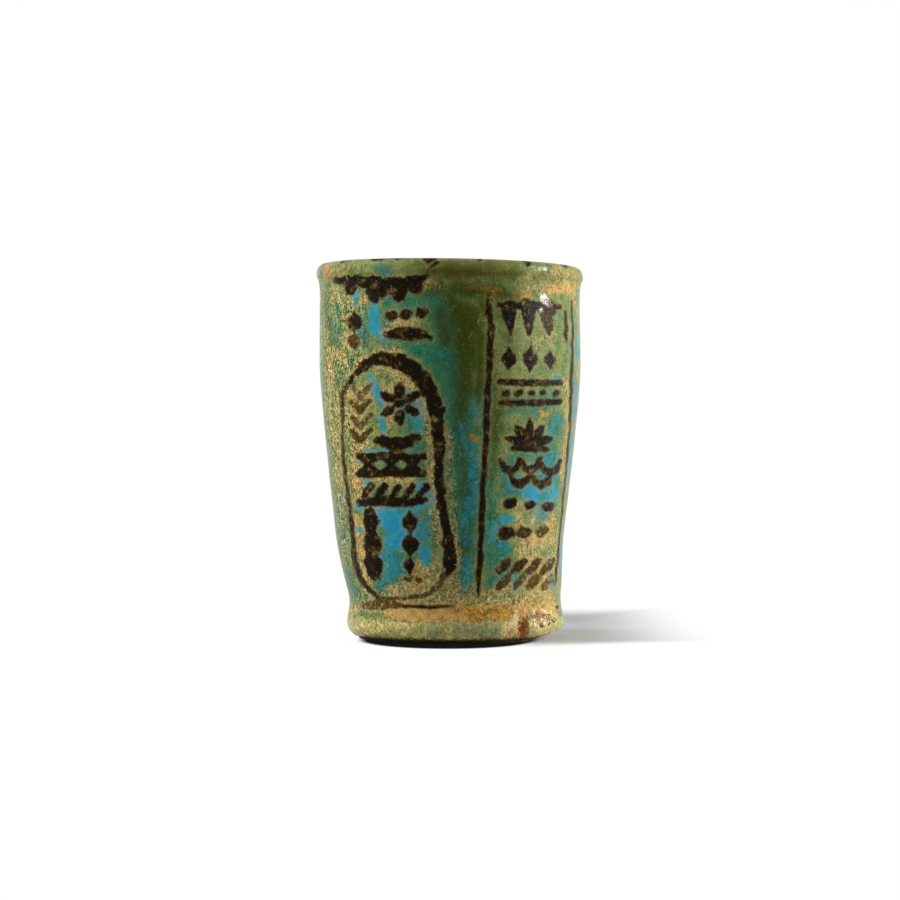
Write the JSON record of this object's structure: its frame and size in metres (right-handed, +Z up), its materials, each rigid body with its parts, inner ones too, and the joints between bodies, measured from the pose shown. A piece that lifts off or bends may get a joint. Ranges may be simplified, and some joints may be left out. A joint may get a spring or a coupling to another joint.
{
  "type": "libation cup",
  "caption": "Small handleless cup with a raised lip, tapered wall and low swollen foot: a quartz paste core under blue-green glaze, the outside painted with dark ornament.",
  "frame": {"origin": "centre of the flat underside of the foot, on the surface that the cup stands on", "axes": "+Z up along the cup, the painted front faces -Y, +X to the right of the front as seen"},
  "size_m": [0.0432, 0.0432, 0.0605],
  "materials": {
    "quartz_paste": "matte",
    "outer_glaze": "satin",
    "inner_glaze": "satin"
  },
  "bodies": {
    "root": {"paste_core": "quartz_paste", "outer_glaze": "outer_glaze", "inner_glaze": "inner_glaze"}
  },
  "joints": []
}
